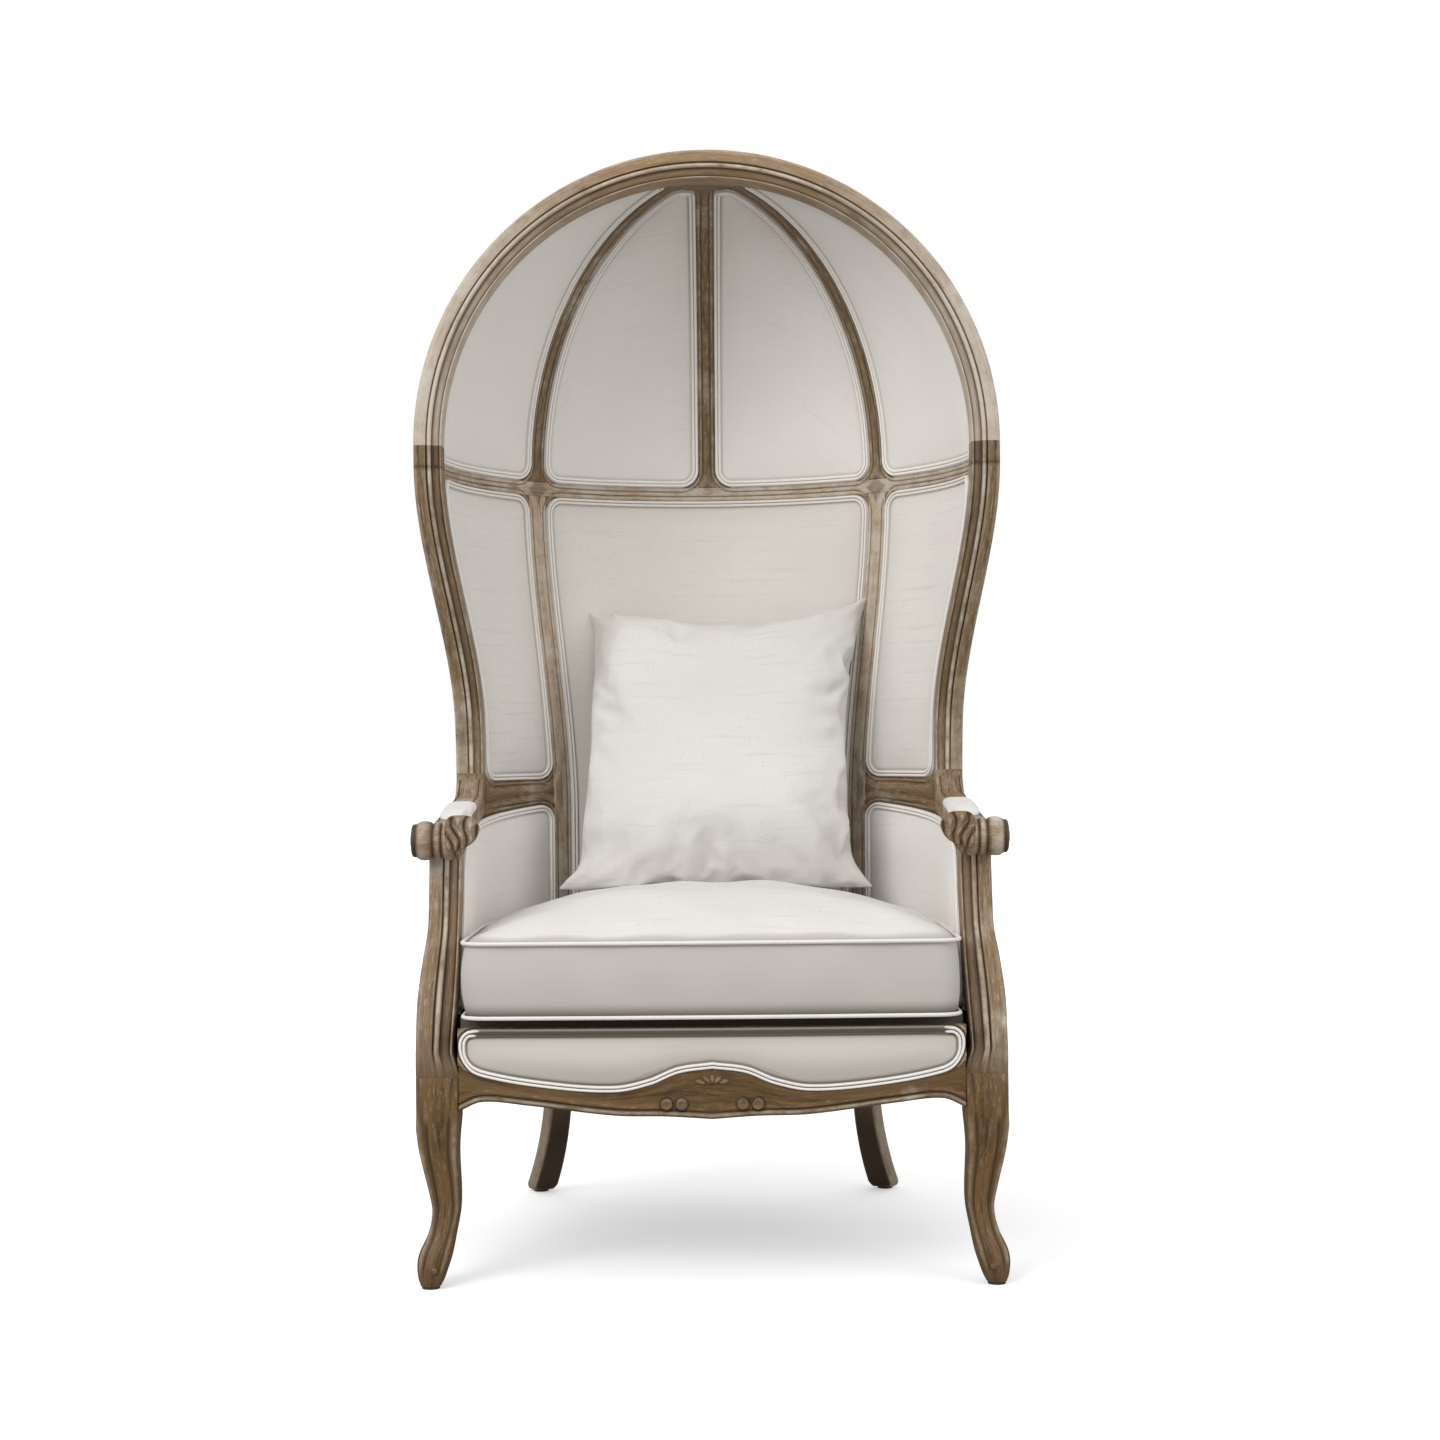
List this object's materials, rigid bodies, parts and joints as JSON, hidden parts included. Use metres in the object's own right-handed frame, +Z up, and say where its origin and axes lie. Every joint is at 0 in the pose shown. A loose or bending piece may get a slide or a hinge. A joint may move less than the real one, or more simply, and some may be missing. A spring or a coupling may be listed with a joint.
{
  "type": "domed canopy armchair",
  "caption": "Canopy armchair: moulded wood frame with a domed upholstered hood, wings, scrolled arms, cabriole front legs, a loose seat cushion and a loose pillow.",
  "frame": {"origin": "on the floor, at the middle of the chair's whole width and depth", "axes": "+Z up; +Y towards the back, so that a person sitting in it faces -Y; +X to the right as seen from the front"},
  "size_m": [0.84, 0.7194, 1.578],
  "materials": {
    "frame_oak": "limed oak, satin, with pale wax in its grooves",
    "crown_oak": "limed oak, darker, worn",
    "plain_wood": "planed, unfinished",
    "linen": "plain linen weave, matt",
    "pale_linen": "plain linen weave, matt",
    "piping": "linen-covered cord, matt",
    "spring_steel": "drawn wire",
    "dust_cloth": "thin non-woven cloth",
    "glide_plastic": "matt"
  },
  "bodies": {
    "chair": {"hood_arch_left": "frame_oak", "hood_arch_crown": "crown_oak", "hood_arch_right": "frame_oak", "crown_block": "crown_oak", "rib_left": "frame_oak", "rib_centre": "frame_oak", "rib_right": "frame_oak", "belt_rail_left": "frame_oak", "belt_rail_back": "frame_oak", "belt_rail_right": "frame_oak", "wing_stile_left": "frame_oak", "wing_stile_right": "frame_oak", "back_post_left": "frame_oak", "back_post_right": "frame_oak", "wing_rail_left": "frame_oak", "wing_rail_right": "frame_oak", "arm_left": "frame_oak", "arm_right": "frame_oak", "arm_post_left": "frame_oak", "arm_post_right": "frame_oak", "front_leg_left": "frame_oak", "front_leg_right": "frame_oak", "front_rail": "frame_oak", "side_rail_left": "plain_wood", "side_rail_right": "plain_wood", "rear_rail": "plain_wood", "dome_pad_side_left": "linen", "dome_pad_back_left": "linen", "dome_pad_back_right": "linen", "dome_pad_side_right": "linen", "dome_cover_side_left": "linen", "dome_cover_back_left": "linen", "dome_cover_back_right": "linen", "dome_cover_side_right": "linen", "wing_pad_left": "linen", "wing_pad_right": "linen", "wing_cover_left": "linen", "wing_cover_right": "linen", "back_pad": "linen", "back_cover": "linen", "arm_panel_left": "linen", "arm_panel_right": "linen", "arm_cover_left": "linen", "arm_cover_right": "linen", "armrest_pad_left": "pale_linen", "armrest_pad_right": "pale_linen", "border_pad": "linen", "seat_deck": "linen", "seat_springs": "spring_steel", "spring_clips": "spring_steel", "corner_blocks": "plain_wood", "corner_screws": "spring_steel", "dust_cover": "dust_cloth", "foot_glides": "glide_plastic"},
    "cushion": {"seat_cushion": "pale_linen", "cushion_welts": "piping"},
    "pillow": {"throw_pillow": "pale_linen"}
  },
  "joints": [
    {"name": "cushion_pull", "type": "slide", "parent": "chair", "child": "cushion", "axis": [0, -1, 0], "range_m": [0, 0.6]},
    {"name": "pillow_lift", "type": "slide", "parent": "cushion", "child": "pillow", "axis": [0, -0.9, 0.436], "range_m": [0, 0.6]}
  ]
}
